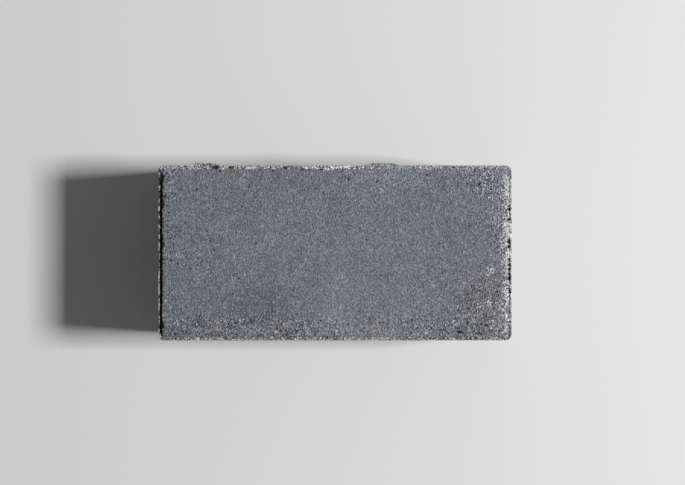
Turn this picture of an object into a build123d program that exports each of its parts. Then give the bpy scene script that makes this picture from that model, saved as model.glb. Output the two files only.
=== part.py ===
from build123d import *
import os

# Block, in mm, with its bed on the ground and the middle of the bed at the origin
length = 198
width = 98
height = 80
corner_radius = 3.5

# Rim pressed round the wearing face, from the side of the block inwards
lip_width = 1.1
lip_rise = 0.6
lip_round = 0.25
groove_width = 0.7
chamfer_run = 0.5
chamfer_drop = 1.8
face_corner_radius = 2.0
arris_round = 0.4

# Spacer nibs down one long side, which keep the joint open
nib_count = 2
nib_pitch = 100
nib_from_end = 25.5
nib_crest = 11
nib_flank = 4.5
nib_projection = 1.3

# Places that follow from these sizes
groove_level = height - chamfer_drop
foot_inset = lip_width + groove_width
face_inset = foot_inset + chamfer_run
nib_side = width / 2
nib_places = [(nib_from_end - length / 2 + nib_pitch * nib, nib_side) for nib in range(nib_count)]

# One nib from above: a flat crest, and flanks of two equal arcs tangent to the crest and to the side
with BuildSketch() as nib_profile:
    with BuildLine() as hump:
        shoulder_point = (nib_crest / 2, nib_projection)
        middle_point = (nib_crest / 2 + nib_flank / 2, nib_projection / 2)
        foot_point = (nib_crest / 2 + nib_flank, 0)
        shoulder = TangentArc(shoulder_point, middle_point, tangent=(1, 0))
        foot = TangentArc(foot_point, middle_point, tangent=(-1, 0))
        mirror([shoulder, foot], about=Plane.YZ)
        Line((-shoulder_point[0], shoulder_point[1]), shoulder_point)
        Line((-foot_point[0], foot_point[1]), foot_point)
    make_face()

# Inside of the mould from above
with BuildSketch() as mould_outline:
    RectangleRounded(length, width, corner_radius)
    with Locations(nib_places):
        add(nib_profile.sketch)

with BuildPart() as paving_stone:
    # Body, as high as the bottom of the groove, with the nibs down its whole side
    extrude(mould_outline.sketch, amount=groove_level)

    # Lip of concrete squeezed up between the mould and the stamp, which follows the nibs
    with BuildSketch(Plane.XY.offset(groove_level)) as lip_ring:
        add(mould_outline.sketch)
        offset(mould_outline.sketch, amount=-lip_width, mode=Mode.SUBTRACT)
    extrude(amount=lip_rise)
    lip_top = paving_stone.faces().filter_by(Axis.Z).sort_by(Axis.Z)[-1]
    fillet(lip_top.edges(), lip_round)

    # Crown inside the groove: the steep chamfer and the wearing face
    with BuildSketch(Plane.XY.offset(groove_level)) as crown_foot:
        RectangleRounded(
            length - 2 * foot_inset, width - 2 * foot_inset, face_corner_radius + chamfer_run
        )
    with BuildSketch(Plane.XY.offset(height)) as wearing_face:
        RectangleRounded(length - 2 * face_inset, width - 2 * face_inset, face_corner_radius)
    loft(ruled=True)
    arris = paving_stone.faces().sort_by(Axis.Z)[-1].edges()
    fillet(arris, arris_round)

paving_stone.part.label = "paving_stone"
os.makedirs("parts", exist_ok=True)
export_step(paving_stone.part, "parts/paving_stone.step")
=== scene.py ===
"""Pressed concrete paving stone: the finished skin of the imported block, and the stage it is shown on."""

import math

import bpy
import numpy as np
from bpy.props import FloatProperty, FloatVectorProperty, PointerProperty
from bpy.types import Operator, Panel, PropertyGroup
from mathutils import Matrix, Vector


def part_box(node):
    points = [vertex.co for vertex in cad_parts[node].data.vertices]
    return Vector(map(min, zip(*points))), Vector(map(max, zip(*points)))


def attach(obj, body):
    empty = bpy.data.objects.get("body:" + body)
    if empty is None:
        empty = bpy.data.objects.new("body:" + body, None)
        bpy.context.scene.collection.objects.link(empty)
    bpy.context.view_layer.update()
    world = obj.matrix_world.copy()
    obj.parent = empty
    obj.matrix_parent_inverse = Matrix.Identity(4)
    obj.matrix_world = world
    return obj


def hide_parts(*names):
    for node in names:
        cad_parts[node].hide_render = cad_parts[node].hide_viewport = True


bl_info = {
    "name": "Concrete Paving Stone",
    "version": (1, 0, 0),
    "blender": (4, 5, 0),
    "location": "3D View > Sidebar > Paving Stone",
    "description": "Rim, grain, wear and colour of a pressed paving stone, and its stage",
    "category": "Add Mesh",
}

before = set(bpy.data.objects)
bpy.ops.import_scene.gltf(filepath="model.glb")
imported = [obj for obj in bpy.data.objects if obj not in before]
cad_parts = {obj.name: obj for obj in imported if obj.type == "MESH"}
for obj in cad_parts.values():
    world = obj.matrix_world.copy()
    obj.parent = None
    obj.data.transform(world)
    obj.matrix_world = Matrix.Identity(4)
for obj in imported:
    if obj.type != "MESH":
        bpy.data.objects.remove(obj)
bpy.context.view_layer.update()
MM = 0.001
STONE_NODE = "paving_stone"
STONE_LOW, STONE_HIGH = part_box(STONE_NODE)
LENGTH = STONE_HIGH[0] - STONE_LOW[0]
TOP = STONE_HIGH[2]


def as_length(name, description, default):
    """A size in metres."""
    return FloatProperty(
        name=name, description=description, default=default, min=0.0, unit="LENGTH", precision=5
    )


def as_mm(name, description, default):
    """A size in metres, from a default in millimetres."""
    return as_length(name, description, default * MM)


def as_share(name, description, default, most=1.0):
    """A plain number from 0 up."""
    return FloatProperty(name=name, description=description, default=default, min=0.0, max=most)


def as_pixels(name, description, default):
    """A place or size in the picture."""
    return FloatProperty(name=name, description=description, default=default, min=0.0, subtype="PIXEL")


def as_colour(name, description, default):
    """A colour in linear light."""
    return FloatVectorProperty(
        name=name, description=description, default=default, size=3, min=0.0, max=1.0, subtype="COLOR"
    )


class PavingStoneSizes(PropertyGroup):
    """Sizes of the pressed shape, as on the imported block."""

    width: as_length("Width", "Across the stone without its nibs", -2 * STONE_LOW[1])
    corner_radius: as_mm("Corner radius", "Upright corners of the block", 3.5)
    lip_width: as_mm("Lip width", "Burr between the mould and the stamp", 1.1)
    lip_rise: as_mm("Lip rise", "Height of the burr over the groove", 0.6)
    groove_width: as_mm("Groove width", "Flat floor between burr and chamfer", 0.7)
    chamfer_run: as_mm("Chamfer run", "Width of the steep chamfer from above", 0.5)
    chamfer_drop: as_mm("Chamfer drop", "Depth of the groove below the face", 1.8)
    face_corner_radius: as_mm("Face corner radius", "Corners of the wearing face", 2.0)
    arris_round: as_mm("Arris round", "Rounding of the face's edge", 0.4)
    nib_pitch: as_mm("Nib pitch", "From one nib to the next", 100)
    nib_from_end: as_mm("First nib", "Left end to the first nib's middle", 25.5)
    nib_crest: as_mm("Nib crest", "Flat length of a nib", 11)
    nib_flank: as_mm("Nib flank", "Length of a nib's slope", 4.5)
    nib_projection: as_mm("Nib projection", "How far a nib stands out", 1.3)


class PavingStoneRelief(PropertyGroup):
    """Depth of the grain, the wear and the faults of pressing."""

    face_grain: as_mm("Face grain", "Sand grain on the smooth face", 0.022)
    coarse_grain: as_mm("Coarse grain", "Grain added where the face is rough", 0.08)
    swell: as_mm("Swell", "Slow waves over the face", 0.05)
    void_depth: as_mm("Void depth", "Open pores in the face", 0.6)
    side_grain: as_mm("Side grain", "Grain on the sides", 0.09)
    drag_marks: as_mm("Drag marks", "Upright marks of the mould", 0.09)
    bed_grain: as_mm("Bed grain", "Grain on the underside", 0.25)
    lip_break: as_share("Lip break", "How broken the burr is", 0.55)
    crumb_height: as_mm("Crumb height", "Crumbs left in the groove", 0.8)
    wall_grain: as_mm("Wall grain", "Grain on the chamfer", 0.10)
    slot_depth: as_mm("Slot depth", "Added depth of the left groove", 2.2)
    nick_depth: as_mm("Nick depth", "Nicks in the burr's outer edge", 0.5)
    chip_depth: as_mm("Chip depth", "Chips along the arris", 0.35)
    arris_wear: as_mm("Arris wear", "Wear along the right arris", 0.40)


class PavingStoneColours(PropertyGroup):
    """Colours of the concrete, in linear light, and how strongly its grains differ."""

    slate: as_colour("Slate", "Cement paste with black pigment", (0.1490, 0.1622, 0.198))
    pale: as_colour("Pale sand", "Bare sand on worn edges", (0.335, 0.35, 0.39))
    beige: as_colour("Beige sand", "Bare sand in the brownish places", (0.668, 0.654, 0.667))
    lichen: as_colour("Lichen sand", "Bare sand in the olive places", (0.40, 0.405, 0.37))
    # Dark sand grains, and the colour of the painted shade in pits, gaps and grooves
    dark: as_colour("Dark grain", "Dark sand and deep pores", (0.008, 0.0085, 0.010))
    warm: as_colour("Warm haze", "Brownish bloom on the paste", (0.172, 0.165, 0.164))
    olive: as_colour("Olive stain", "Growth by the upper rim", (0.163, 0.174, 0.145))
    speckle: as_share("Speckle", "Contrast of grains on the smooth face", 1.0, 4.0)
    rough_speckle: as_share("Rough speckle", "Contrast added on the rough parts", 0.55, 4.0)
    sparkle: as_share("Sparkle", "Pale grains over the bare sand", 1.35, 4.0)
    bare_speckle: as_share("Bare speckle", "Contrast within the bare sand", 0.95, 4.0)
    fine_bump: as_mm("Fine bump", "Grain too fine for the mesh", 0.45)


class PavingStoneStage(PropertyGroup):
    """Camera, lamp and floor."""

    image_width: as_pixels("Image width", "Width of the picture", 685)
    image_height: as_pixels("Image height", "Height of the picture", 485)
    stone_left: as_pixels("Stone left", "Left side of the stone", 157.9)
    stone_right: as_pixels("Stone right", "Right side of the stone", 511.9)
    stone_top: as_pixels("Stone top", "Upper side of the stone", 165.45)
    stone_bottom: as_pixels("Stone bottom", "Lower side of the stone", 340.45)
    camera_height: as_length("Camera height", "Above the wearing face", 1.0)
    key_elevation: FloatProperty(
        name="Key elevation",
        description="Height of the lamp",
        default=math.radians(48),
        subtype="ANGLE",
    )
    key_distance: as_length("Key distance", "From the stone to the lamp", 2.4)
    key_size: as_length("Key size", "Side of the square lamp", 0.40)
    key_power: FloatProperty(
        name="Key power", description="Power of the lamp", default=71.0, unit="POWER"
    )
    fill: as_share("Fill", "Light from all round", 0.13)
    floor_colour: as_colour("Floor", "Plain pale floor", (0.66, 0.66, 0.66))
    floor_bounce: as_colour("Floor bounce", "Floor as the stone sees it", (0.30, 0.30, 0.30))
    floor_size: as_length("Floor size", "Side of the square floor", 9.0)


# Zones of the skin, from the face down to the bed
FACE, ARRIS, WALL, GROOVE, LIP, SIDE, BED = range(7)

# Cells of the face, whose numbers halve three times before the bed, and rows down a side
CELLS_X = 368
CELLS_Y = 184
CORNER_CELLS = 4
SIDE_ROWS = 26
SIDE_ROW_FIRST = 0.9 * MM
BED_EDGE = 0.35 * MM
BED_EDGE_RISE = 0.15 * MM
BED_CORNER_RADIUS = 1.5 * MM

# Rings of the bed: inset, share of the nibs, and how many vertices of the face's edge make one here
BED_RINGS = ((0.9 * MM, 0.8, 2), (4.0 * MM, 0.3, 4), (9.0 * MM, 0.0, 8))
BED_INSET, _, BED_STEP = BED_RINGS[-1]

NOISE_TABLE = 4096
NOISE_SPREAD = 0.26

# Noises of the skin: a seed, then layers, each a wavelength in mm and a share
NOISES = {
    "grain": (11, (1.3, 0.6), (2.0, 0.5), (3.4, 0.45), (7.0, 0.4)),
    "grit": (23, (1.4, 0.8), (2.6, 0.6)),
    "bed": (27, (6, 0.7), (14, 0.6)),
    "swell": (37, (42, 1)),
    "crumbs": (53, (1.25, 0.85), (2.4, 0.55)),
    "lip runs": (58, (11, 1)),
    "breaks": (62, (2.0, 0.5), (5.0, 0.9)),
    "nicks": (61, (1.7, 0.8), (5, 0.5)),
    "chips": (67, (1.5, 0.8), (3.5, 0.6)),
    "drag": (71, (1.8, 0.7), (4.5, 0.7)),
    "tone clouds": (83, (5, 0.5), (11, 0.6), (30, 0.6)),
    "drift": (87, (11, 1)),
    "rough clumps": (90, (6, 1)),
    "rough clouds": (91, (18, 1)),
    "olive drift": (95, (6, 0.6), (17, 0.8)),
    "bare stretches": (97, (7, 1)),
    "arris wear": (102, (1.7, 0.7), (4, 0.6)),
    "bare runs": (106, (1.2, 0.7), (2.4, 0.7)),
}

# Voids: spacing and largest radius in mm, and a seed
FACE_VOIDS = (4.0, 0.90, 41)
SIDE_VOIDS = (6.0, 1.9, 50)
SIDE_VOID_SHARE = 0.45

# How much a noise's coordinates are squeezed, which draws it out that way
FLAT = np.array((1.0, 1.0, 0.0))
DRAWN_DOWN = np.array((1.0, 1.0, 0.06))
DRAWN_ACROSS = np.array((1.0, 0.4, 0.0))
COMBED_SIDES = np.array((1.0, 0.45, 0.0))
COMBED_ENDS = np.array((0.45, 1.0, 0.0))

# Amounts for the right, upper, left and lower rim, with reaches in mm
ROUGH_STRIP = (0.22, 0.06, 0.20, 0.42)
BARE_AMOUNT = (1.0, 0.46, 0.72, 0.25)
BARE_REACH = (4.0, 2.1, 1.2, 2.1)
BARE_FADE = (2.6, 0.6, 0.3, 0.6)
BARE_RUNS = (0.55, 0.0, 0.45, 0.0)
LIP_BARED_LESS = (0.5, 0.0, 0.0, 0.0)
WARM_STRIP = (0.60, 0.25, 0.92, 0.0)
CALM_RIM = (0.0, 0.45, 0.0, 0.30)
BREAKS_FROM = (1.6, 1.2, 0.5, 1.6)
BREAKS_TO = (2.3, 1.9, 1.2, 2.3)
GROOVE_FILL = (0.50, 0.55, 0.5, 0.5)
# Painted shade in the groove, on the right only
GROOVE_SHADE = (0.15, 0.0, 0.0, 0.0)
NICK_AMOUNT = (1.0, 1.0, 1.5, 1.0)

# Fades over the rim, in mm from the outside: where there is none of it, and where all
ROUGH_FADE = (17, 9)
WARM_FADE = (5.5, 2.0)
WEAR_FADE = (5.5, 2.2)
CHIP_FADE = (3.3, 2.4)
BARE_LIP_FADE = (2.7, 1.7)

# Fades down the sides, in mm below the groove
NICK_FADE = (4.0, 0.0)
BARE_SIDE_FADE = (2.5, 0.0)

# Length of the left groove's closed ends, and of the fade to the open part, in mm
CLOSED_UPPER = 4.3
CLOSED_LOWER = 3.0
CLOSED_FADE = 1.3
CORNER_BLEND = 1.5 * MM

# Clouds in the material: size, detail, and how strongly each changes the tone
GRAIN_CLOUDS = {
    "paste": (0.85 * MM, 0.0, 1.05),
    "grit": (1.1 * MM, 0.0, 0.65),
    "clots": (2.6 * MM, 2.0, 0.5),
    "fines": (0.30 * MM, 1.0, 0.9),
}
CLOUD_BUMPS = {"paste": 1.2, "grit": 0.8, "fines": 0.35}
SAND_SIZE = 0.95 * MM
SAND_TONE = 0.60
SAND_RAGGED = (0.5 * MM, 0.55 * MM)

# Shares of pale and of dark grains: growth with roughness, share on the smooth face, least share
PALE_GRAINS = (0.24, 0.004, 0.002)
DARK_GRAINS = (0.10, 0.003, 0.001)

# Slopes of red, green and blue against a grain's tone
SHADE_SLOPES = (1.03, 1.0, 0.92)

# Places where the stone differs: middle x and y, reach in x and y, all in mm, and how much
ROUGH_PATCHES = {
    "lower right": (82, -32, 18, 17, 0.78),
    "lower right end": (95, -34, 6, 15, -0.42),
    "upper right": (87, 42, 16, 10, 0.95),
    "right end, upper": (94, 20, 7, 14, 0.36),
    "lower left corner": (-93, -42, 9, 8, 0.12),
    "upper left corner": (-93, 43, 8, 8, 0.25),
    "brown patch": (-69, -43, 10, 5, 0.36),
    "under the middle": (-20, -44, 14, 5, 0.2),
    "smooth middle": (12, -6, 30, 15, -0.25),
    "smooth lower middle": (0, -28, 24, 10, -0.1),
    "lower rim, middle": (12, -44, 26, 6, -0.12),
}
TONE_PATCHES = {
    "dark lower left": (-44, -32, 20, 15, -0.19),
    "pale band": (2, -22, 8, 20, 0.2),
    "pale upper right": (30, 42, 26, 8, 0.14),
    "left of the right end": (60, -26, 26, 18, 0.05),
    "left end": (-90, 0, 16, 40, -0.02),
    "right end": (95, 0, 8, 60, 0.17),
    "right of the middle": (66, 16, 20, 14, -0.06),
    "lower pale strip": (20, -42, 46, 7, 0.19),
    "lower right corner": (84, -42, 14, 8, 0.09),
    "upper right corner": (80, 40, 12, 8, 0.24),
    "upper right rim": (95, 47.2, 6, 3, 0.58),
    "right end, upper": (89, 19, 7, 11, 0.08),
    "right end, lower": (88, -10, 7, 10, -0.025),
    "left of the upper right": (66, 38, 9, 8, -0.03),
    "lower rim, left": (-48, -41, 24, 6, 0.03),
    "upper rim, right": (66, 48.4, 34, 1.7, 0.38),
    "under it": (82, 45, 12, 2.5, 0.1),
    "lower rim": (5, -48.3, 92, 1.4, 0.16),
    "second nib": (27, 49.6, 10, 1.8, 0.5),
}
WARM_PATCHES = {
    "haze": (32, -28, 16, 19, 0.37),
    "brown patch": (-65, -43, 8, 4, 0.7),
    "brown spot": (-81, 44.5, 1.6, 1.6, 1.2),
    "lower right": (84, -28, 14, 24, 0.55),
    "right end": (92, 20, 9, 20, 0.4),
    "lower rim, left": (-36, -44, 9, 5, 0.45),
    "lower strip": (14, -42, 50, 5, 0.28),
    "right, upper": (58, 26, 17, 11, 0.28),
    "right, middle": (42, 2, 9, 8, 0.22),
    "right, lower": (67, -24, 9, 18, 0.32),
    "left of the haze": (11, -20, 6, 10, 0.22),
    "above the haze": (55, 16, 20, 10, 0.2),
    "beige crumbs": (-2, 48.5, 15, 2.2, 1.0),
    "left of the middle": (-22, -40, 6, 5, 0.38),
    "lower rim, right": (56, -40.5, 6, 5, 0.42),
    "blush in the middle": (34, -5, 8, 8, 0.24),
}
OLIVE_PATCHES = {
    "by the upper rim": (-58, 47.5, 8, 2.6, 0.7),
    "upper right": (42, 33, 9, 6, 0.25),
    "middle": (24, 4, 8, 20, 0.15),
    "left of the middle": (-24, 22, 5, 12, 0.12),
}
BARE_PATCHES = {
    "beige crumbs": (-4, 48.5, 15, 2.4, 0.1),
    "first nib": (-76, 49, 14, 2.6, 0.1),
    "second nib": (27, 49.6, 9, 2.6, -0.34),
    "between the nibs": (-36, 48.5, 12, 3, -0.1),
    "right end, upper": (95, 2, 3, 14, 0.1),
    "right end, lower": (93.5, -14, 4.6, 12, -0.04),
    "sand on the right": (86.7, -10.1, 1.5, 1.7, 1.05),
    "sand, lower right": (86.4, -27.4, 1.2, 1.6, 0.4),
    "sand left of it": (80.5, -29, 1, 1.4, 0.2),
    "sand, upper right": (86.5, 31, 1.6, 1.2, 0.4),
    "calm right end": (92.3, -33, 3, 9, -0.22),
    "lower right corner": (96, -37.5, 1.4, 3.5, 0.35),
    "upper right arris": (95.9, 39, 1.6, 6.5, 0.9),
    "right arris": (96.8, 22, 2.6, 8, -0.16),
    "right lip": (98.3, -2, 0.9, 9, -0.25),
    "upper rim, right": (64, 48.6, 34, 2.4, -0.08),
    "left lip": (-98.6, -22, 1.2, 24, 0.2),
    "lower right lip": (98.5, -38, 2.6, 12, -0.25),
    "upper right lip": (98.5, 42, 2.2, 6, -0.5),
    "upper right corner": (94.5, 48.2, 5, 2.4, -0.05),
    "left of the second nib": (17.8, 48.4, 3.2, 1.8, -0.42),
    "right of the second nib": (36, 48.2, 3.2, 1.6, 0.45),
    "lower right arris": (95, -36, 1.8, 8, 0.3),
    "specks, upper right": (87, 41, 9, 9, 0.1),
    "specks on the right": (89, 19, 6, 10, 0.05),
    "specks, lower left": (-48, -41, 22, 5, 0.06),
}
# Pits with a place: middle x and y, reach in x and y, in mm, and how much; each is cut into the relief and
# darkened with painted shade
FACE_PITS = (
    # By the lower rim
    (69.4, -44.2, 1.1, 0.8, 1), (71, -44.4, 0.7, 0.6, 0.8), (80.3, -45, 0.8, 0.7, 0.75),
    (65.3, -40.4, 0.7, 0.5, 0.6),
    # At the left end
    (-77.5, 35.6, 0.8, 0.8, 0.7), (-95.6, 31.6, 0.9, 0.7, 1), (-96.5, 41.9, 0.9, 1.6, 0.9),
)
# Pits of the rim, in the same columns, also cut in and darkened with painted shade
RIM_PITS = (
    # Right, from the top down
    (97.6, 24.4, 0.8, 0.9, 1), (95.3, 22.7, 0.6, 0.6, 1), (96.4, 20.9, 0.7, 0.6, 1),
    (97.6, 18.8, 0.8, 0.8, 1), (97.4, 6.3, 0.9, 1.1, 1), (97.4, 3.5, 0.8, 0.8, 1),
    (97.6, -3.6, 0.7, 0.8, 1), (97.6, -6.6, 0.7, 0.9, 1), (97.6, -9.2, 0.7, 0.8, 1),
    (97.6, -11.6, 0.7, 0.8, 1), (97.6, -14.4, 0.8, 1.3, 1), (96.4, -20, 0.9, 0.7, 0.9),
    (97.8, -21.8, 0.6, 0.8, 0.9),
    # Upper, by the beige crumbs and the first nib
    (-8, 46.9, 2.2, 0.45, 0.7), (-15, 46.8, 1.6, 0.45, 0.6), (-66.5, 47.6, 0.8, 0.9, 0.9),
    (-57.5, 47.7, 0.6, 0.6, 0.8),
)
CALM_PATCHES = {
    "second nib": (27, 49, 9, 3, 0.6),
    "upper right corner": (95.5, 46.5, 4, 3.5, 0.6),
    "arris under it": (96, 40, 1.6, 6.5, 0.85),
}
# Gaps in the burr, in the same columns: they lower the burr and carry painted shade
LIP_GAPS = (
    # Left, from the top down, and its closed lower part
    (-98.6, 41.9, 1.5, 1.7, 1), (-98.6, 33.5, 1.5, 0.8, 0.9), (-98.6, 26.8, 1.5, 0.7, 0.9),
    (-98.6, 11.2, 1.5, 0.8, 1), (-98.6, -8.4, 1.5, 0.9, 1), (-98.6, -30, 2, 17, -0.8),
    # Upper, from the left
    (-66.6, 48.6, 1.1, 1, 1), (-57, 48.6, 0.8, 1.1, 1), (12.5, 48.6, 0.8, 0.9, 0.8),
    # Lower
    (55, -48.6, 0.8, 1, 1), (87.5, -48.6, 0.7, 0.8, 0.9), (-26, -48.6, 0.7, 0.8, 0.8),
)


def smooth_step(none, full, value):
    """Goes from 0 at none to 1 at full, along 3t^2 - 2t^3."""
    t = np.clip((value - none) / (full - none), 0.0, 1.0)
    return t * t * (3.0 - 2.0 * t)


def table_index(order, cell):
    """Folds a cell's three whole numbers into one place in the shuffled table."""
    x, y, z = (cell % NOISE_TABLE).T
    return order[(order[(order[x] + y) % NOISE_TABLE] + z) % NOISE_TABLE]


def gradient_noise(points, wavelength, seed):
    """Lattice noise of unit spread: the corners of cubes one wavelength wide have random slopes, which are
    blended across each cube along 6t^5 - 15t^4 + 10t^3."""
    rng = np.random.default_rng(seed)
    order = rng.permutation(NOISE_TABLE)
    slopes = rng.normal(size=(NOISE_TABLE, 3))
    slopes /= np.linalg.norm(slopes, axis=1, keepdims=True)
    place = points / wavelength + 0.5
    cell = np.floor(place).astype(np.int64)
    within = place - cell
    blend = within**3 * (within * (within * 6 - 15) + 10)
    total = np.zeros(len(points))
    for corner in np.ndindex(2, 2, 2):
        step = np.array(corner)
        weight = np.prod(np.where(step == 1, blend, 1 - blend), axis=1)
        slope = slopes[table_index(order, cell + step)]
        total += weight * np.sum(slope * (within - step), axis=1)
    return total / NOISE_SPREAD


def noise(points, name):
    """Sum of gradient noises, one for each layer of the named noise."""
    seed, *layers = NOISES[name]
    total = np.zeros(len(points))
    for number, (wavelength, share) in enumerate(layers):
        total += share * gradient_noise(points, wavelength * MM, seed + number)
    return total


def combed_noise(points, name, rim):
    """The named noise, drawn out across each side of the rim, as the stamp leaves its crumbs."""
    along_sides = noise(points * COMBED_SIDES, name)
    along_ends = noise(points * COMBED_ENDS, name)
    return rim.end * along_ends + (1 - rim.end) * along_sides


def open_voids(points, share, spacing, radius, seed):
    """Round voids from 0 to 1: a share of space's cubes hold one ball each, which gives 1 - (d / r)^2 at
    distance d from its middle."""
    rng = np.random.default_rng(seed)
    order = rng.permutation(NOISE_TABLE)
    draws = rng.random((NOISE_TABLE, 5))
    spacing *= MM
    radius *= MM
    cell = np.floor(points / spacing).astype(np.int64)
    deepest = np.zeros(len(points))
    for step in np.ndindex(3, 3, 3):
        neighbour = cell + np.array(step) - 1
        draw = draws[table_index(order, neighbour)]
        ball = radius * (0.45 + 0.55 * draw[:, 4])
        distance = np.linalg.norm(points - (neighbour + draw[:, :3]) * spacing, axis=1)
        depth = np.where(draw[:, 3] < share, 1 - (distance / ball) ** 2, 0.0)
        deepest = np.maximum(deepest, depth)
    return deepest


def soft_patches(points, patches):
    """Sum of soft ellipses, each amount * exp(-(dx/a)^2 - (dy/b)^2) about its middle."""
    total = np.zeros(len(points))
    for x, y, reach_x, reach_y, amount in patches:
        across = (points[:, 0] - x * MM) / (reach_x * MM)
        along = (points[:, 1] - y * MM) / (reach_y * MM)
        total += amount * np.exp(-(across**2) - along**2)
    return total


def disc_from_square(a, b):
    """Maps the square -1..1 onto the disc: the longer side is the radius, their ratio the angle."""
    wide = np.abs(a) >= np.abs(b)
    angle = np.where(
        wide,
        math.pi / 4 * b / np.where(a == 0, 1.0, a),
        math.pi / 2 - math.pi / 4 * a / np.where(b == 0, 1.0, b),
    )
    radius = np.where(wide, a, b)
    return np.stack((radius * np.cos(angle), radius * np.sin(angle)), axis=-1)


def walk_axis(cells):
    """Along one axis, each vertex's share -1..1 of the corner centre's place, and its step past it."""
    index = np.arange(cells + 1)
    share = np.clip((index - CORNER_CELLS) / (cells - 2 * CORNER_CELLS) * 2 - 1, -1, 1)
    before = np.clip(CORNER_CELLS - index, 0, CORNER_CELLS) / CORNER_CELLS
    return share, before[::-1] - before


def nib_hump(x, sizes):
    """How far the spacer nibs stand out at x: a flat crest, and flanks of two equal arcs of radius
    (f^2 + p^2) / 4p for a flank f long and a nib p proud."""
    flank, projection = sizes.nib_flank, sizes.nib_projection
    arc = (flank**2 + projection**2) / (4 * projection)
    first = sizes.nib_from_end - LENGTH / 2
    beyond = np.minimum(np.abs(x - first), np.abs(x - first - sizes.nib_pitch)) - sizes.nib_crest / 2
    run = np.clip(beyond, 0.0, flank)
    shoulder = projection - arc + np.sqrt(arc**2 - np.minimum(run, flank / 2) ** 2)
    foot = arc - np.sqrt(arc**2 - np.minimum(flank - run, flank / 2) ** 2)
    return np.where(run < flank / 2, shoulder, foot)


def ring_faces(upper, lower):
    """Quads between two rings of as many vertices, facing outwards."""
    return np.stack((upper, lower, np.roll(lower, -1), np.roll(upper, -1)), axis=1)


def halving_faces(upper, lower):
    """Triangles between a ring and one with half as many vertices: three for each pair of edges."""
    first, middle, last = upper[0::2], upper[1::2], np.roll(upper[0::2], -1)
    after = np.roll(lower, -1)
    triangles = ((first, lower, middle), (middle, lower, after), (middle, after, last))
    return np.concatenate([np.stack(corners, axis=1) for corners in triangles])


def grid_faces(index):
    """Quads of a grid of vertex numbers, anticlockwise from above."""
    corners = (index[:-1, :-1], index[:-1, 1:], index[1:, 1:], index[1:, :-1])
    return np.stack([c.ravel() for c in corners], axis=1)


def grid_edge(grid):
    """What stands round a grid's edge, anticlockwise from its lower left corner."""
    return np.concatenate((grid[0, :-1], grid[:-1, -1], grid[-1, :0:-1], grid[:0:-1, 0]))


def arris_arc(sizes):
    """The chamfer's slope, and the reach of the arris's arc on the face: r * tan(slope / 2)."""
    slope = math.atan2(sizes.chamfer_drop, sizes.chamfer_run)
    return slope, sizes.arris_round * math.tan(slope / 2)


def rim_rows(sizes):
    """The rim from the face outwards: zone, inset, depth, corner radius, share of the nibs, share upright.
    The arris is an arc, the groove has a flat floor, and the lip is a low hump."""
    drop, rise, lip, run = sizes.chamfer_drop, sizes.lip_rise, sizes.lip_width, sizes.chamfer_run
    slope, reach = arris_arc(sizes)
    foot = lip + sizes.groove_width
    arris = foot + run + reach
    corner, face_corner = sizes.corner_radius, sizes.face_corner_radius
    rows = []
    for turn in (slope / 2, slope):
        inset = arris - sizes.arris_round * math.sin(turn)
        depth = sizes.arris_round * (1 - math.cos(turn))
        rows.append((ARRIS, inset, depth, face_corner, 0.0, math.cos(turn)))
    rows += [
        (WALL, foot + 0.5 * run, 0.5 * drop, face_corner + 0.5 * run, 0.0, 0.3),
        (GROOVE, foot + 0.05 * run, drop, face_corner + run, 0.1, 0.8),
        (GROOVE, lip + 0.45 * sizes.groove_width, drop, corner - lip, 0.7, 1.0),
        (LIP, lip, drop - 0.10 * rise, corner - lip, 1.0, 0.8),
        (LIP, 0.86 * lip, drop - 0.80 * rise, corner - 0.86 * lip, 1.0, 0.6),
        (LIP, 0.58 * lip, drop - rise, corner - 0.58 * lip, 1.0, 1.0),
        (LIP, 0.25 * lip, drop - 0.92 * rise, corner - 0.25 * lip, 1.0, 0.9),
        (LIP, 0.03 * lip, drop - 0.55 * rise, corner, 1.0, 0.4),
    ]
    return rows


def side_heights(high, low):
    """Heights of the rows down a side: even steps, drawn together at both ends by a sine."""
    t = np.linspace(0.0, 1.0, SIDE_ROWS + 1)
    even = SIDE_ROW_FIRST * SIDE_ROWS / (high - low)
    return high - (high - low) * (t - (1 - even) * np.sin(2 * math.pi * t) / (2 * math.pi))


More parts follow.
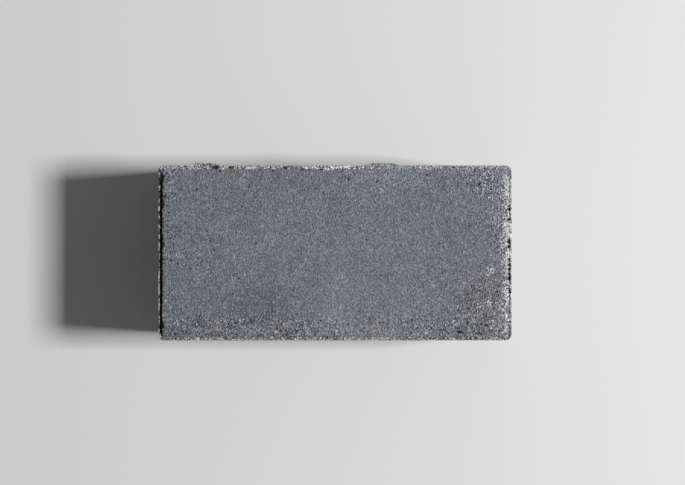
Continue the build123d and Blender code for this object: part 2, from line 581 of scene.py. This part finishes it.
class StoneSkin:
    """The skin as the mould leaves it: its vertices, the way each one faces, its zone, and the faces."""

    def __init__(self, sizes):
        self.sizes = sizes
        self.half = np.array([LENGTH / 2, sizes.width / 2])
        self.points, self.normals, self.zones, self.faces = [], [], [], []
        shares, steps = zip(walk_axis(CELLS_X), walk_axis(CELLS_Y))
        self.share = np.stack(np.meshgrid(*shares), axis=-1)
        self.outward = disc_from_square(*np.meshgrid(*steps))
        self.build()

    def add(self, zone, place, height, outward, upright):
        """Adds vertices of one height and one upright share, and returns their numbers."""
        first, count = sum(map(len, self.points)), len(place)
        level = math.sqrt(max(0.0, 1 - upright**2))
        self.points.append(np.column_stack((place, np.full(count, height))))
        self.normals.append(np.column_stack((outward * level, np.full(count, upright))))
        self.zones.append(np.full(count, zone))
        return np.arange(first, first + count)

    def add_ring(self, zone, inset, height, radius, nib_share, upright, keep=1):
        """Adds one ring round the block and the faces up to the last one. A vertex is its share of the
        corner centre's place plus the radius along its outward direction, and nibs push out the far side.
        Every keep-th vertex of the face's edge has one."""
        share, outward = grid_edge(self.share)[::keep], grid_edge(self.outward)[::keep]
        place = share * (self.half - inset - radius) + outward * radius
        far_side = outward[:, 1] > 0.9
        place[:, 1] += np.where(far_side, nib_share * nib_hump(place[:, 0], self.sizes), 0.0)
        ring = self.add(zone, place, height, outward, upright)
        join = ring_faces if len(ring) == len(self.last) else halving_faces
        self.faces.append(join(self.last, ring))
        self.last = ring

    def build(self):
        """The face grid, the rim, the sides, and the bed, whose rings halve down to a coarser grid."""
        sizes = self.sizes
        _, reach = arris_arc(sizes)
        edge = sizes.lip_width + sizes.groove_width + sizes.chamfer_run + reach
        radius = sizes.face_corner_radius - reach
        place = (self.share * (self.half - edge - radius) + self.outward * radius).reshape(-1, 2)
        grid = self.add(FACE, place, TOP, np.zeros_like(place), 1.0).reshape(CELLS_Y + 1, CELLS_X + 1)
        self.faces.append(grid_faces(grid))
        self.last = grid_edge(grid)
        for zone, inset, depth, radius, nib_share, upright in rim_rows(sizes):
            self.add_ring(zone, inset, TOP - depth, radius, nib_share, upright)
        for row, height in enumerate(side_heights(TOP - sizes.chamfer_drop, BED_EDGE_RISE + BED_EDGE)):
            self.add_ring(SIDE, 0.0, height, sizes.corner_radius, 1.0, 0.0, keep=2 if row else 1)
        self.add_ring(BED, BED_EDGE, BED_EDGE_RISE, sizes.corner_radius - BED_EDGE, 1.0, -0.7, keep=2)
        for inset, nib_share, keep in BED_RINGS:
            radius = max(sizes.corner_radius - inset, BED_CORNER_RADIUS)
            self.add_ring(BED, inset, 0.0, radius, nib_share, -1.0, keep)
        self.close_bed()
        self.points, self.normals, self.zones = map(np.concatenate, (self.points, self.normals, self.zones))

    def close_bed(self):
        """Fills the last ring with a grid of every eighth face vertex, and faces it downwards."""
        share = self.share[::BED_STEP, ::BED_STEP]
        places = np.arange(share[..., 0].size).reshape(share.shape[:2])
        inner = (share * (self.half - BED_INSET))[1:-1, 1:-1].reshape(-1, 2)
        grid = np.empty_like(places)
        grid.flat[places[1:-1, 1:-1].ravel()] = self.add(BED, inner, 0.0, np.zeros_like(inner), -1.0)
        grid.flat[grid_edge(places)] = self.last
        self.faces.append(grid_faces(grid)[:, ::-1])


class Rim:
    """Where each vertex is on the rim: how far in, in mm, on which sides, and how much of the left groove,
    which is deep between its closed ends."""

    def __init__(self, points, sizes):
        x, y = points.T[:2]
        from_end = LENGTH / 2 - np.abs(x)
        from_side = sizes.width / 2 - np.abs(y)
        self.inset = np.clip(np.minimum(from_end, from_side), 0.0, None) / MM
        self.end = smooth_step(CORNER_BLEND, -CORNER_BLEND, from_end - from_side)
        self.right = x > 0
        self.upper = y > 0
        left = self.sides(0.0, 0.0, 1.0, 0.0)
        beyond = from_side / MM - np.where(self.upper, CLOSED_UPPER, CLOSED_LOWER)
        self.slot = left * smooth_step(0.0, CLOSED_FADE, beyond)
        self.closed = left - self.slot

    def sides(self, right, upper, left, lower):
        """One value for each side, blended over the corners."""
        ends = np.where(self.right, right, left)
        return self.end * ends + (1 - self.end) * np.where(self.upper, upper, lower)


class PressedSkin(StoneSkin):
    """The skin with the concrete's relief. Each array has one value for each vertex."""

    def __init__(self, sizes, relief):
        super().__init__(sizes)
        self.relief = relief
        self.on_rim = np.isin(self.zones, (WALL, GROOVE, LIP))
        self.level = TOP - sizes.chamfer_drop
        self.down = (self.level - self.points[:, 2]) / MM
        self.rim = Rim(self.points, sizes)
        self.rough = self.rough_share()
        self.grit = noise(self.points, "grit")
        self.draw_pits()
        self.draw_crumbs()

    def rough_share(self):
        """How rough the face is, from about 0 to about 1: patches, strips along the rim, and clouds."""
        strip = smooth_step(*ROUGH_FADE, self.rim.inset) * self.rim.sides(*ROUGH_STRIP)
        clumps = noise(self.points, "rough clumps")
        share = (soft_patches(self.points, ROUGH_PATCHES.values()) + strip) * (1 + 0.30 * clumps)
        return np.clip(share + 0.07 * clumps + 0.06 * noise(self.points, "rough clouds"), -0.35, 1.3)

    def bare_share(self):
        """How much bare sand shows, from 0 to 1: strips along the rim that fade inwards, and patches."""
        inset, sides = self.rim.inset, self.rim.sides
        reach, fade = sides(*BARE_REACH), sides(*BARE_FADE)
        runs = sides(*BARE_RUNS) * noise(self.points * DRAWN_ACROSS, "bare runs")
        stretches = 1.0 + 0.30 * noise(self.points, "bare stretches") + runs
        share = sides(*BARE_AMOUNT) * stretches * smooth_step(0, 1, (reach + fade - inset) / (2 * fade))
        share *= 1 - sides(*LIP_BARED_LESS) * smooth_step(*BARE_LIP_FADE, inset)
        return np.clip(share + soft_patches(self.points, BARE_PATCHES.values()), 0.0, 1.0)

    def draw_pits(self):
        """Pits from 0 to 1: random voids, more of them where it is rough, and those with a place."""
        share = 0.03 + 0.45 * np.clip(self.rough, 0.0, None)
        voids = open_voids(self.points, share, *FACE_VOIDS)
        face_pits = np.clip(2.2 * soft_patches(self.points, FACE_PITS) - 0.4, 0, 1)
        self.rim_pits = np.clip(1.7 * soft_patches(self.points, RIM_PITS) - 0.3, 0, 1)
        self.pits = np.maximum.reduce((voids, face_pits, self.rim_pits))
        self.side_pits = open_voids(self.points, SIDE_VOID_SHARE, *SIDE_VOIDS)

    def draw_crumbs(self):
        """Crumbs and breaks of the burr, as beads along the rim, and weaker where the stone is calm."""
        self.calm = np.clip(soft_patches(self.points, CALM_PATCHES.values()), 0, 1)
        right_part = smooth_step(5 * MM, 45 * MM, self.points[:, 0])
        lively = 1.0 - self.rim.sides(*CALM_RIM) * np.where(self.rim.upper, right_part, 1.0)
        lively *= 1 - self.calm
        self.crumbs = lively * combed_noise(self.points, "crumbs", self.rim)
        breaks = lively * combed_noise(self.points, "breaks", self.rim)
        broken = smooth_step(self.rim.sides(*BREAKS_FROM), self.rim.sides(*BREAKS_TO), breaks)
        self.gaps = np.clip(soft_patches(self.points, LIP_GAPS) + broken, 0, 1)

    def face_depth(self):
        """Relief of the face and its arris: sand grain, grit where it is rough, slow swells, pits, wear of
        the right arris, and chips along all of it."""
        relief, points = self.relief, self.points
        depth = relief.face_grain * np.maximum(0.0, 1.5 + noise(points, "grain"))
        depth += relief.coarse_grain * np.clip(self.rough, 0.0, None) * np.maximum(0.0, 1.0 + self.grit)
        depth += relief.swell * np.clip(0.5 + 0.35 * noise(points, "swell"), 0.0, 1.5)
        depth += relief.void_depth * self.pits
        worn_edge = smooth_step(*WEAR_FADE, LENGTH / 2 / MM - points[:, 0] / MM)
        wear = np.maximum(0.0, 1.0 + 0.40 * noise(points, "arris wear"))
        depth += relief.arris_wear * worn_edge**2 * wear
        chips = smooth_step(0.3, 2.0, noise(points * FLAT, "chips"))
        return depth + relief.chip_depth * chips * smooth_step(*CHIP_FADE, self.rim.inset)

    def side_depth(self):
        """Relief of the sides: grain, drag marks, which are noise drawn out downwards, and pits."""
        depth = self.relief.side_grain * np.maximum(0.0, 1.4 + self.grit)
        depth += self.relief.drag_marks * np.maximum(0.0, 1.2 + noise(self.points * DRAWN_DOWN, "drag"))
        return depth + 1.3 * self.relief.void_depth * self.side_pits

    def depth(self):
        """Relief of every zone but groove and lip, whose relief is their height."""
        zones = self.zones
        wall = self.relief.wall_grain * np.maximum(0.0, 1.0 + self.grit)
        bed = self.relief.bed_grain * np.maximum(0.0, 1.2 + noise(self.points, "bed"))
        return np.select(
            [zones <= ARRIS, zones == WALL, zones == SIDE, zones == BED],
            [self.face_depth(), wall, self.side_depth(), bed],
        )

    def rim_heights(self, heights):
        """Heights with the burr and crumbs, in beads over the groove's floor, and with the rim's pits."""
        relief, slot = self.relief, self.rim.slot
        beads = relief.lip_break * (self.crumbs + 0.5 * noise(self.points * FLAT, "lip runs"))
        pressed = np.clip(1.0 + beads, 0.1, 1.9) * (1 - 0.9 * self.gaps)
        lip = self.level + (self.points[:, 2] - self.level) * pressed
        fill = np.clip(self.rim.sides(*GROOVE_FILL) - 0.7 * slot + 0.45 * self.crumbs, 0.0, 1.2)
        fill = (fill + 1.1 * self.rim.closed) * (1 - self.gaps)
        groove = self.level + relief.crumb_height * fill - relief.slot_depth * slot
        heights = np.select([self.zones == LIP, self.zones == GROOVE], [lip, groove], heights)
        return heights - np.where(self.on_rim, 1.6 * relief.void_depth * self.rim_pits, 0.0)

    def nick_depth(self):
        """How far nicks pull in the burr's outer edge, and fade down the side."""
        nicks = smooth_step(0.4, 2.2, noise(self.points * FLAT, "nicks")) + 1.3 * self.gaps
        nicks *= self.rim.sides(*NICK_AMOUNT)
        reach = np.where(self.zones == SIDE, smooth_step(*NICK_FADE, self.down), self.zones == LIP)
        return self.relief.nick_depth * nicks * reach

    def places(self):
        """The vertices, moved by their relief against the way they face."""
        placed = self.points - self.normals * self.depth()[:, None]
        placed[:, 2] = self.rim_heights(placed[:, 2])
        placed -= self.normals * FLAT * self.nick_depth()[:, None]
        return np.clip(placed, STONE_LOW, STONE_HIGH)

    def painted_shade_share(self):
        """Painted shade in pits, gaps and the right groove, and painted shadow in the left groove and on
        its edges.
        """
        zones, slot, inset = self.zones, self.rim.slot, self.rim.inset
        inner_lip = smooth_step(0.4, 0.8, inset * MM / self.sizes.lip_width - 0.12 * self.crumbs)
        ragged_edge = 2.9 + 0.6 * self.crumbs
        # Painted shade in pits and gaps, and painted shadow of the face's edge over the left groove, its
        # walls, inner burr and arris
        painted_shade_marks = (
            (zones == SIDE, 0.55 * self.side_pits),
            (zones < SIDE, np.clip(1.25 * self.pits, 0, 1)),
            (self.on_rim, self.rim_pits),
            ((zones == LIP) | (zones == GROOVE), 0.9 * self.gaps),
            (zones == GROOVE, self.rim.sides(*GROOVE_SHADE) + slot),
            (zones == WALL, 0.75 * slot),
            (zones == LIP, slot * inner_lip),
            (zones <= ARRIS, slot * smooth_step(0.4, -0.4, inset - ragged_edge)),
        )
        return np.clip(np.maximum.reduce([where * share for where, share in painted_shade_marks]), 0, 1)

    def shares(self):
        """The shares that colour the surface, by name. The sides and the bed are plainer than the face."""
        points, below = self.points, self.zones >= SIDE
        drift = noise(points, "drift")
        tone = 1.0 + soft_patches(points, TONE_PATCHES.values()) + 0.034 * noise(points, "tone clouds")
        warm = soft_patches(points, WARM_PATCHES.values()) + 0.09 * drift
        warm = warm + self.rim.sides(*WARM_STRIP) * smooth_step(*WARM_FADE, self.rim.inset)
        warm = np.clip(warm, 0, 1)
        olive_drift = 0.07 * noise(points, "olive drift") * (1 - warm)
        olive = soft_patches(points, OLIVE_PATCHES.values()) + olive_drift
        return {
            "rough": np.where(below, 0.30, self.rough),
            "worn": np.where(below, 0.30 * smooth_step(*BARE_SIDE_FADE, self.down), self.bare_share()),
            "tone": np.where(below, 0.96 + 0.04 * drift, tone),
            "warm": np.where(below, np.clip(0.25 + 0.07 * drift, 0, 1), warm),
            "olive": np.where(below, 0.1, np.clip(olive, 0, 1)),
            # Painted shade in pits and gaps, and painted shadow in the left groove
            "painted_shade": self.painted_shade_share(),
            "calm": np.where(below, 0.0, self.calm),
        }


def add_object(name, data):
    """A new object in the scene."""
    added = bpy.data.objects.new(name, data)
    bpy.context.scene.collection.objects.link(added)
    return added


def mesh_from_arrays(name, points, faces):
    """A mesh object from vertex places and face arrays of three or four columns, shaded smooth."""
    mesh = bpy.data.meshes.new(name)
    loops = np.concatenate([f.ravel() for f in faces])
    lengths = np.concatenate([np.full(len(f), f.shape[1]) for f in faces])
    starts = np.concatenate(((0,), np.cumsum(lengths)[:-1]))
    mesh.vertices.add(len(points))
    mesh.vertices.foreach_set("co", points.astype(np.float32).ravel())
    mesh.loops.add(len(loops))
    mesh.loops.foreach_set("vertex_index", loops.astype(np.int32))
    mesh.polygons.add(len(lengths))
    mesh.polygons.foreach_set("loop_start", starts.astype(np.int32))
    mesh.polygons.foreach_set("loop_total", lengths.astype(np.int32))
    mesh.polygons.foreach_set("use_smooth", np.ones(len(lengths), dtype=bool))
    mesh.update(calc_edges=True)
    if mesh.validate():
        raise RuntimeError(f"{name}: the mesh has faults")
    return add_object(name, mesh)


class NodeBench:
    """Adds nodes to a material or world. An input is a number, a colour, or the output that feeds it."""

    def __init__(self, owner):
        owner.use_nodes = True
        self.tree = owner.node_tree
        self.tree.nodes.clear()

    def add(self, kind, inputs=None, **settings):
        """Adds one shader node with its settings, and fills its inputs by name or number."""
        node = self.tree.nodes.new("ShaderNode" + kind)
        for key, value in settings.items():
            setattr(node, key, value)
        for key, value in (inputs or {}).items():
            if isinstance(value, bpy.types.NodeSocket):
                self.tree.links.new(value, node.inputs[key])
            else:
                node.inputs[key].default_value = value
        return node

    def math(self, operation, *values):
        """The result of one sum."""
        return self.add("Math", dict(enumerate(values)), operation=operation).outputs[0]

    def times(self, *values):
        """One value times another."""
        return self.math("MULTIPLY", *values)

    def plus(self, *values):
        """One value plus another."""
        return self.math("ADD", *values)

    def line(self, value, slope, start):
        """slope * value + start."""
        return self.math("MULTIPLY_ADD", value, slope, start)

    def clamp(self, value):
        """The value kept between 0 and 1."""
        return self.add("Clamp", {"Value": value}).outputs[0]

    def spread(self, value, width):
        """A value about 0.5, moved to about 0 and stretched."""
        return self.line(value, width, -0.5 * width)

    def mix(self, share, first, second, blend="MIX"):
        """Two colours mixed by a share."""
        inputs = {"Factor": share, 6: first, 7: second}
        return self.add("Mix", inputs, data_type="RGBA", blend_type=blend).outputs[2]

    def share(self, name):
        """One of the skin's shares, read from the mesh."""
        return self.add("Attribute", attribute_name=name).outputs["Fac"]

    def noise(self, place, size, detail):
        """Cloudy noise about as wide as size."""
        inputs = {"Vector": place, "Scale": 1 / size, "Detail": detail, "Roughness": 0.55}
        return self.add("TexNoise", inputs).outputs["Fac"]

    def combine(self, parts):
        """A colour from its red, green and blue."""
        return self.add("CombineColor", dict(enumerate(parts))).outputs[0]

    def grains(self, place, size):
        """Cells about as wide as size: three random numbers for each, and the distance from its middle."""
        node = self.add("TexVoronoi", {"Vector": place, "Scale": 1 / size})
        draws = self.add("SeparateColor", {"Color": node.outputs["Color"]})
        return draws.outputs, node.outputs["Distance"]

    def rare(self, draw, rough, growth, base, least):
        """How far a grain's draw lies in the top share of all draws, which grows with roughness."""
        share = self.math("MAXIMUM", self.line(rough, growth, base), least)
        over = self.math("SUBTRACT", draw, self.math("SUBTRACT", 1.0, share))
        return self.math("DIVIDE", over, share)

    def shade(self, tones, tone):
        """A grey to multiply by, tone * exp(tones), bluer in its darks: each channel has its own slope."""
        parts = [self.math("EXPONENT", self.times(tones, slope)) for slope in SHADE_SLOPES]
        return self.combine(self.times(part, tone) for part in parts)

    def warp(self, place, size, reach):
        """The place pushed about by noise, which makes straight edges ragged."""
        cloud = self.add("TexNoise", {"Vector": place, "Scale": 1 / size, "Detail": 1.0})
        inputs = {0: cloud.outputs["Color"], 1: [0.5] * 3}
        shift = self.add("VectorMath", inputs, operation="SUBTRACT").outputs[0]
        inputs = {0: shift, 1: [reach] * 3, 2: place}
        return self.add("VectorMath", inputs, operation="MULTIPLY_ADD").outputs[0]

    def seen(self, plain, shown):
        """The colour shown to the camera and to mirrors, and the plain one to all other rays."""
        rays = self.add("LightPath").outputs
        seen = self.plus(rays["Is Camera Ray"], rays["Is Glossy Ray"])
        seen = self.math("MINIMUM", self.plus(seen, rays["Is Transmission Ray"]), 1.0)
        return self.mix(seen, plain, shown)


def rgba(colour):
    """A colour with its alpha."""
    return (*colour, 1.0)


def concrete_material(colours):
    """Slate-grey pressed concrete: sand grains in several sizes and tones, tints that follow the skin's
    shares, dark grains, painted shade in pores, gaps and grooves, bare pale sand where it is worn, and a
    fine bump."""
    material = bpy.data.materials.new("slate_concrete")
    bench = NodeBench(material)
    place = bench.add("TexCoord").outputs["Object"]
    names = ("rough", "worn", "tone", "warm", "olive", "painted_shade", "calm")
    rough, worn, tone, warm, olive, painted_shade, calm = [bench.share(name) for name in names]
    liveliness = bench.math("SUBTRACT", 1.0, calm)

    # Grains with ragged outlines, and the paste between them
    sand, sand_middle = bench.grains(bench.warp(place, *SAND_RAGGED), SAND_SIZE)
    tones = bench.spread(sand[0], SAND_TONE)
    clouds = {}
    for name, (size, detail, width) in GRAIN_CLOUDS.items():
        clouds[name] = bench.noise(place, size, detail)
        tones = bench.plus(tones, bench.spread(clouds[name], width))
    tones = bench.times(tones, liveliness)
    contrast = bench.line(rough, colours.rough_speckle, colours.speckle)
    tones = bench.times(tones, contrast)

    # Tint of the paste
    tint = bench.mix(warm, rgba(colours.slate), rgba(colours.warm))
    tint = bench.mix(olive, tint, rgba(colours.olive))
    colour = bench.mix(1.0, tint, bench.shade(tones, tone), "MULTIPLY")

    # Bare sand, and pale and dark grains, more of them where the face is rough
    bare = bench.mix(warm, rgba(colours.pale), rgba(colours.beige))
    bare = bench.mix(olive, bare, rgba(colours.lichen))
    bare_tones = bench.times(bench.math("DIVIDE", tones, contrast), colours.bare_speckle)
    bare = bench.mix(1.0, bare, bench.shade(bare_tones, 1.0), "MULTIPLY")
    glint = bench.math("MINIMUM", bench.line(rough, 0.9, 0.5), 1.0)
    glint = bench.times(glint, bench.line(warm, -0.7 * colours.sparkle, colours.sparkle))
    glint = bench.combine([glint] * 3)
    pale_grain = bench.times(bench.rare(sand[1], rough, *PALE_GRAINS), 0.85)
    colour = bench.mix(bench.clamp(pale_grain), colour, bench.mix(1.0, bare, glint, "MULTIPLY"))
    dark_grain = bench.rare(sand[2], rough, *DARK_GRAINS)
    colour = bench.mix(bench.clamp(dark_grain), colour, rgba(colours.dark))

    # Wear bares the pale sand crumb by crumb: a share of the crumbs that grows with the wear
    crumb = bench.plus(bench.spread(sand[0], 0.9), bench.spread(clouds["paste"], 2.4))
    crumb = bench.times(crumb, bench.line(worn, -0.5, 1.15))
    crumb = bench.times(crumb, liveliness)
    bared = bench.plus(bench.plus(crumb, worn), -0.5)
    bared = bench.clamp(bench.line(bared, 3.0, 0.5))
    bared = bench.times(bared, bench.clamp(bench.times(worn, 6.0)))
    colour = bench.mix(bared, colour, bare)
    # Painted shade and painted shadow: the dark colour laid over pits, gaps and the grooves
    colour = bench.mix(painted_shade, colour, rgba(colours.dark))

    # Grains stand out as low domes over the paste
    domes = bench.times(bench.math("SUBTRACT", 1.0, sand_middle), sand[2])
    bump = bench.times(domes, 0.5)
    for name, share in CLOUD_BUMPS.items():
        bump = bench.line(clouds[name], share, bump)
    coarse = bench.math("MAXIMUM", rough, bench.times(worn, 0.9))
    height = bench.times(bump, bench.line(coarse, 1.7, 1.0))
    normal = bench.add("Bump", {"Height": height, "Distance": colours.fine_bump}).outputs[0]
    inputs = {"Base Color": colour, "Normal": normal, "Roughness": 0.88, "Specular IOR Level": 0.25}
    shader = bench.add("BsdfPrincipled", inputs)
    bench.add("OutputMaterial", {"Surface": shader.outputs[0]})
    return material


def floor_material(stage):
    """Pale floor as it is seen, and a darker one to other rays, so that it lights the stone less."""
    material = bpy.data.materials.new("pale_floor")
    bench = NodeBench(material)
    colour = bench.seen(rgba(stage.floor_bounce), rgba(stage.floor_colour))
    shader = bench.add("BsdfPrincipled", {"Base Color": colour, "Roughness": 0.9})
    bench.add("OutputMaterial", {"Surface": shader.outputs[0]})
    return material


def light_world(stage):
    """Even light from all round, which is seen as the floor's colour."""
    world = bpy.context.scene.world = bpy.data.worlds.new("soft_surround")
    bench = NodeBench(world)
    colour = bench.seen(rgba([stage.fill] * 3), rgba(stage.floor_colour))
    background = bench.add("Background", {"Color": colour, "Strength": 1.0})
    bench.add("OutputWorld", {"Surface": background.outputs[0]})


class PAVING_OT_press_stone(Operator):
    """Make the stone's skin from its sizes and relief, and give it its material"""

    bl_idname = "paving.press_stone"
    bl_label = "Press Stone"

    def execute(self, context):
        scene = context.scene
        skin = PressedSkin(scene.paving_sizes, scene.paving_relief)
        stone = mesh_from_arrays("pressed_stone", skin.places(), skin.faces)
        for name, values in skin.shares().items():
            layer = stone.data.attributes.new(name, "FLOAT", "POINT")
            layer.data.foreach_set("value", values.astype(np.float32))
        stone.data.materials.append(concrete_material(scene.paving_colours))
        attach(stone, "root")
        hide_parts(STONE_NODE)
        return {"FINISHED"}


class PAVING_OT_set_stage(Operator):
    """Lay the pale floor, hang the key lamp and put the camera straight above the stone"""

    bl_idname = "paving.set_stage"
    bl_label = "Set Stage"

    def execute(self, context):
        stage = context.scene.paving_stage
        half = stage.floor_size / 2
        corners = [(-half, -half, 0), (half, -half, 0), (half, half, 0), (-half, half, 0)]
        mesh = bpy.data.meshes.new("floor")
        mesh.from_pydata(corners, [], [(0, 1, 2, 3)])
        mesh.materials.append(floor_material(stage))
        floor = add_object("floor", mesh)
        context.scene.view_settings.view_transform = "Standard"
        light_world(stage)
        self.hang_key(stage)
        context.scene.camera = self.place_camera(stage)
        return {"FINISHED"}

    def hang_key(self, stage):
        """One soft square lamp to the right of the stone, aimed at its face."""
        lamp = bpy.data.lights.new("key", "AREA")
        lamp.size = stage.key_size
        lamp.energy = stage.key_power
        key = add_object("key", lamp)
        towards = Vector((math.cos(stage.key_elevation), 0.0, math.sin(stage.key_elevation)))
        key.location = Vector((0, 0, TOP)) + towards * stage.key_distance
        key.rotation_euler = (-towards).to_track_quat("-Z", "Y").to_euler()

    def place_camera(self, stage):
        """Looks straight down. The stone's sides in the picture give the scale and the picture's middle."""
        scale = LENGTH / (stage.stone_right - stage.stone_left)
        middle_x = (stage.stone_left + stage.stone_right) / 2
        middle_y = (stage.stone_top + stage.stone_bottom) / 2
        camera = bpy.data.cameras.new("camera")
        camera.sensor_width = 36
        camera.lens = camera.sensor_width * stage.camera_height / (stage.image_width * scale)
        above = add_object("camera", camera)
        x = (stage.image_width / 2 - middle_x) * scale
        y = (middle_y - stage.image_height / 2) * scale
        above.location = (x, y, TOP + stage.camera_height)
        return above


class PAVING_PT_sidebar(Panel):
    """The paving stone's sizes, finish and stage"""

    bl_idname = "PAVING_PT_sidebar"
    bl_label = "Paving Stone"
    bl_space_type = "VIEW_3D"
    bl_region_type = "UI"
    bl_category = "Paving Stone"

    def draw(self, context):
        for settings in SETTINGS:
            group = getattr(context.scene, settings)
            column = self.layout.column(align=True)
            for name in group.__annotations__:
                column.prop(group, name)
        self.layout.operator("paving.press_stone")
        self.layout.operator("paving.set_stage")


SETTINGS = {
    "paving_sizes": PavingStoneSizes,
    "paving_relief": PavingStoneRelief,
    "paving_colours": PavingStoneColours,
    "paving_stage": PavingStoneStage,
}
CLASSES = (*SETTINGS.values(), PAVING_OT_press_stone, PAVING_OT_set_stage, PAVING_PT_sidebar)


def register():
    """Registers the classes and hangs the settings on the scene."""
    for cls in CLASSES:
        bpy.utils.register_class(cls)
    for name, group in SETTINGS.items():
        setattr(bpy.types.Scene, name, PointerProperty(type=group))


def unregister():
    """Takes the settings off the scene and unregisters the classes."""
    for name in SETTINGS:
        delattr(bpy.types.Scene, name)
    for cls in reversed(CLASSES):
        bpy.utils.unregister_class(cls)


def main():
    """Makes the stone and its stage."""
    register()
    bpy.ops.paving.press_stone()
    bpy.ops.paving.set_stage()


if __name__ == "__main__":
    main()
